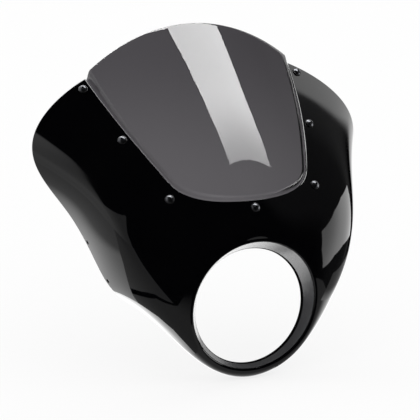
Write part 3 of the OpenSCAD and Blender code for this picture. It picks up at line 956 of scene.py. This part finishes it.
for k in range(1, 8):
    place, left = SCREW_PLACES[min(k, 8 - k) - 1], k < 4
    washer_z, _, pad_z, _ = layers(place)
    for kind, node, slot, materials, parts in (
            ("domed_screw", "screw", "black_screw", [STEEL], [screw_grid(place)]),
            ("washer", "nylon_washer", "nylon_washer", [NYLON],
             [ring_grid(place, WASHER_R, WASHER_T, washer_z, 0.2)]),
            ("pad", "rubber_washer", "rubber_washer", [RUBBER],
             [ring_grid(place, PAD_R, PAD_T, pad_z, 0.35)]),
            ("locknut", "nut", "zinc_nut", [ZINC, INSERT], nut_grids(place))):
        piece = single(f"{kind}_{k}", materials, *parts, left=left)
        stands_for(piece, f"{node}_{k}", slot)


# The floor, the light and the camera


FLOOR_Z = cad_box[0][2]
# Half the floor's width, and where the strip light and the soft box stand, in metres
FAR, STRIP_Z, SIDE_X = 30.0, 1.2, 0.6
# The share of plain white in what the camera sees of the floor
PAPER_WHITE = 0.8


def stage_sheet(name, corners, material):
    """A flat card or floor from its corners, in metres."""
    mesh = bpy.data.meshes.new(name)
    mesh.from_pydata(corners, [], [list(range(len(corners)))])
    mesh.materials.append(material)
    card = bpy.data.objects.new(name, mesh)
    bpy.context.scene.collection.objects.link(card)
    return card


def paper():
    """White paper: a pale matt floor. The camera sees it for the most part as plain white, so
    that it meets the white background and still shows the cowl's shadow."""
    material, tree, place = node_material("white paper matt")
    tooth = grain(tree, place, 3.0)
    matt = add_node(tree, "ShaderNodeBsdfDiffuse",
                    {"Color": two_tone(tree, tooth, "#f9f9f9", "#fcfcfc")})
    white = add_node(tree, "ShaderNodeEmission", {"Strength": 1.0})
    path = add_node(tree, "ShaderNodeLightPath").outputs
    seen = math(tree, "MAXIMUM", path["Is Camera Ray"], path["Is Transmission Ray"])
    part = math(tree, "MULTIPLY", seen, PAPER_WHITE)
    both = add_node(tree, "ShaderNodeMixShader", {0: part, 1: matt.outputs[0],
                                                  2: white.outputs[0]})
    add_node(tree, "ShaderNodeOutputMaterial", {"Surface": both.outputs[0]})
    return material


def glow(name, strength):
    """A glowing face, of a lamp or of a card that paints a reflection. strength builds the level
    from the tree and the object's coordinates.
    """
    material, tree, place = node_material(name)
    lamp = add_node(tree, "ShaderNodeEmission", {"Strength": strength(tree, place)})
    add_node(tree, "ShaderNodeOutputMaterial", {"Surface": lamp.outputs[0]})
    return material


def graded(way, start, end, first, last):
    """A level that goes smoothly from first to last along a way across a card."""
    def strength(tree, place):
        along = add_node(tree, "ShaderNodeVectorMath", {0: place, 1: way},
                         operation="DOT_PRODUCT").outputs["Value"]
        return ramp(tree, along, start, end, first, last)
    return strength


FLOOR = stage_sheet("floor", [(-FAR, -FAR, FLOOR_Z), (FAR, -FAR, FLOOR_Z), (FAR, FAR, FLOOR_Z),
                              (-FAR, FAR, FLOOR_Z)], paper())
FLOOR.visible_glossy = False


def ground(name, height, level, *corners):
    """A card at a height over the floor. Height and corners are in millimetres."""
    return stage_sheet(name, [(x * MM, y * MM, FLOOR_Z + height * MM) for x, y in corners],
                       glow(name.replace("_", " "), level))


# What only the gloss sees, besides the room. On the floor, glowing cards paint the floor's
# reflection: grey paper, a bright patch behind the cowl, a table top with a black border at its
# left, and under the cowl four sheets of white paper over a dimmer one that shows in front of
# them. Above, in metres: a strip light over the screen and a soft box at the right.
REFLECTED_TABLETOP_OUTLINE = [(-195, -235), (-235, -160), (-255, -110), (-277, -50), (-265, 50), (-245, 140)]
REFLECTED_BORDER_OUTLINE = [(-275, 140), (-300, 0), (-300, -70), (-265, -140), (-220, -220), (-170, -420)]
GLOSS_ONLY = [
    # Painted reflection: these glowing cards stand for the floor as the gloss would see it
    ground("painted_reflection_grey_sheet", 0.1, graded((0, 1, 0), -0.2, 0.15, 0.28, 0.4),
           (-190, -212), (-190, 151), (-2600, 151), (-2600, -1080), (-1257, -537),
           (-718, -342), (-498, -279), (-338, -233)),
    ground("painted_reflection_bright_patch", 0.2, graded((1, -0.6, 0), -0.79, -0.62, 0.64, 1.42),
           (-2600, 150), (-600, 150), (-470, 140), (-190, 140), (-190, 900), (-2600, 900)),
    ground("painted_reflection_black_border", 0.3, lambda tree, place: 0.0, *REFLECTED_BORDER_OUTLINE, (-100, -900),
           (-100, 140)),
    ground("painted_reflection_tabletop", 0.4, graded((0, 1, 0), -0.5, -0.15, 0.0, 0.3), *REFLECTED_TABLETOP_OUTLINE,
           (-100, 140), (-100, -900), (-150, -450)),
    ground("painted_reflection_left_sheet", 0.5, graded((1, 0, 0), -0.14, -0.09, 4.3, 2.4), (-195, 140),
           (-190, 60), (-165, 12), (-126, -2), (-100, -4), (-100, 700), (-195, 700)),
    # Painted shadow: this painted reflection darkens towards the front, where the cowl stands on
    # the floor
    ground("painted_shadow_reflection_middle_sheet", 0.5, graded((0, 1, 0), -0.03, 0.025, 0.35, 2.4), (-100, -30),
           (45, -30), (45, 700), (-100, 700)),
    # Painted shadow: this painted reflection darkens towards the cowl, at its front and left
    ground("painted_shadow_reflection_right_sheet", 0.5, graded((0.5, 0.85, 0), 0.065, 0.15, 0.3, 2.0), (45, 50),
           (310, -106), (310, 700), (45, 700)),
    ground("painted_reflection_far_sheet", 0.5, graded((1, 0, 0), 0.3, 0.38, 1.6, 0.4), (310, -110),
           (520, -110), (520, 700), (310, 700)),
    ground("painted_reflection_dim_sheet", 0.45, graded((1, 0, 0), -0.1, 0.3, 0.4, 0.3), (-100, 20), (320, 20),
           (400, -150), (455, -240), (470, -310), (400, -330), (140, -190), (-100, -190)),
    stage_sheet("strip_light", [(x, y, STRIP_Z) for x, y in (
        (0.336, -0.196), (0.448, -0.171), (0.684, -0.116), (0.844, -0.078), (0.836, -0.02),
        (0.775, 0.048), (0.729, 0.119), (0.6, 0.25), (-0.06, 1.0), (-0.64, 0.88), (0.178, 0.029),
        (0.218, -0.006), (0.276, -0.076), (0.301, -0.113), (0.322, -0.149))],
                glow("strip light", graded((-0.244, 0.97, 0), -0.29, -0.13, 5.0, 12.0))),
    stage_sheet("side_light", [(SIDE_X, y, z) for y, z in (
        (-0.358, -0.088), (-0.373, 0.027), (-0.337, 0.177), (-0.138, 0.273), (0, 0.282),
        (0.167, 0.219), (0.25, -0.041), (-0.027, -0.013), (-0.191, -0.029),
        (-0.264, -0.057))],
                glow("soft box", graded((0, 1, -0.6), -0.42, -0.15, 1.3, 2.7)))]
for card in GLOSS_ONLY:
    card.visible_camera = card.visible_diffuse = card.visible_transmission = False
    card.visible_shadow = False


def studio():
    """White for the eye, for matt surfaces and through the screen. In gloss, the room is bright
    behind the cowl and to its left, and dark in front and above. Its edges are drawn in degrees:
    side is the angle round from the rear (0) to the cowl's right (90) or left (-90), and height
    the angle above the horizon."""
    world = bpy.data.worlds.new("studio")
    bpy.context.scene.world = world
    world.use_nodes = True
    tree = world.node_tree
    tree.nodes.clear()
    way = add_node(tree, "ShaderNodeSeparateXYZ",
                   {0: add_node(tree, "ShaderNodeTexCoord").outputs["Generated"]}).outputs
    side = math(tree, "DEGREES", math(tree, "ARCTAN2", way["X"], way["Y"]))
    height = math(tree, "DEGREES", math(tree, "ARCSINE", way["Z"]))

    def slope(value, *span):
        return ramp(tree, value, *span)

    def combine(first, second, operation):
        return math(tree, operation, first, second)

    # The room's bright parts end at this height
    ceiling = slope(height, 48.0, 45.0)
    # A tall panel at the left, and a grey wall beside it that leans forward at its top
    edge = slope(height, 17.0, 41.0, -95.6, -101.3, "LINEAR")
    inside = combine(side, edge, "SUBTRACT")
    panel = combine(slope(inside, -0.6, 0.8), slope(inside, 0.0, 5.0, 0.45, 0.8), "MULTIPLY")
    panel = combine(panel, slope(height, -12.0, 12.0, 0.8, 1.0), "MULTIPLY")
    panel = combine(panel, ceiling, "MULTIPLY")
    edge = slope(height, 8.0, 30.0, -112.5, -121.0, "LINEAR")
    wall = combine(slope(combine(side, edge, "SUBTRACT"), -0.6, 0.8),
                   slope(side, -110.0, -80.0, 0.3, 0.78), "MULTIPLY")
    crest = combine(slope(side, -96.0, -126.0, 16.0, 36.0, "LINEAR"), height, "SUBTRACT")
    wall = combine(wall, slope(crest, 0.0, 1.5), "MULTIPLY")
    # White behind the cowl, up to a leaning edge at its right
    fall = combine(slope(height, 36.0, -14.0, 0.0, 1.0, "LINEAR"), 2.0, "POWER")
    edge = slope(fall, 0.0, 1.0, 69.8, 43.5, "LINEAR")
    white = combine(slope(side, -62.0, -48.0, 0.0, 0.4), ceiling, "MULTIPLY")
    bright = combine(combine(panel, wall, "MAXIMUM"), white, "ADD")
    bright = combine(bright, slope(combine(edge, side, "SUBTRACT"), -0.2, 1.0), "MULTIPLY")
    # A dim glow at the right
    dim = combine(slope(side, 80.0, 71.0, 0.05, 0.11), slope(side, 60.0, 71.0), "MULTIPLY")
    dim = combine(dim, slope(side, 130.0, 115.0), "MULTIPLY")
    bright = combine(bright, dim, "MAXIMUM")
    # Only gloss sees the room
    path = add_node(tree, "ShaderNodeLightPath").outputs
    level = add_node(tree, "ShaderNodeMix", {0: path["Is Glossy Ray"], 2: 1.0, 3: bright},
                     data_type="FLOAT").outputs[0]
    sky = add_node(tree, "ShaderNodeBackground", {"Color": (1, 1, 1, 1), "Strength": level})
    add_node(tree, "ShaderNodeOutputWorld", {"Surface": sky.outputs[0]})


studio()

# The photograph's camera. It looks past the headlight's axis by the two shifts, in millimetres
AZIMUTH, ELEVATION, FOCAL_PX, FRAME_PX = np.radians(24.474), np.radians(13.230), 2400, 420
DISTANCE, SHIFT_X, SHIFT_Y, SENSOR_W = 3249.37, 51.493, -129.153, 36
across = np.array([np.cos(AZIMUTH), -np.sin(AZIMUTH), 0])
back = np.array([-np.sin(AZIMUTH) * np.cos(ELEVATION), -np.cos(AZIMUTH) * np.cos(ELEVATION),
                 np.sin(ELEVATION)])
upward = np.cross(back, across)
camera = bpy.data.objects.new("camera", bpy.data.cameras.new("camera"))
bpy.context.scene.collection.objects.link(camera)
camera.data.sensor_fit = "HORIZONTAL"
camera.data.sensor_width = SENSOR_W
camera.data.lens = SENSOR_W * FOCAL_PX / FRAME_PX
camera.data.clip_end = 200
eye = (-SHIFT_X * across - SHIFT_Y * upward + DISTANCE * back) * MM
pose = np.eye(4)
pose[:3, :3] = np.stack([across, upward, back], 1)
pose[:3, 3] = eye
camera.matrix_world = Matrix(pose.tolist())
bpy.context.scene.camera = camera
bpy.context.scene.view_settings.view_transform = "Standard"
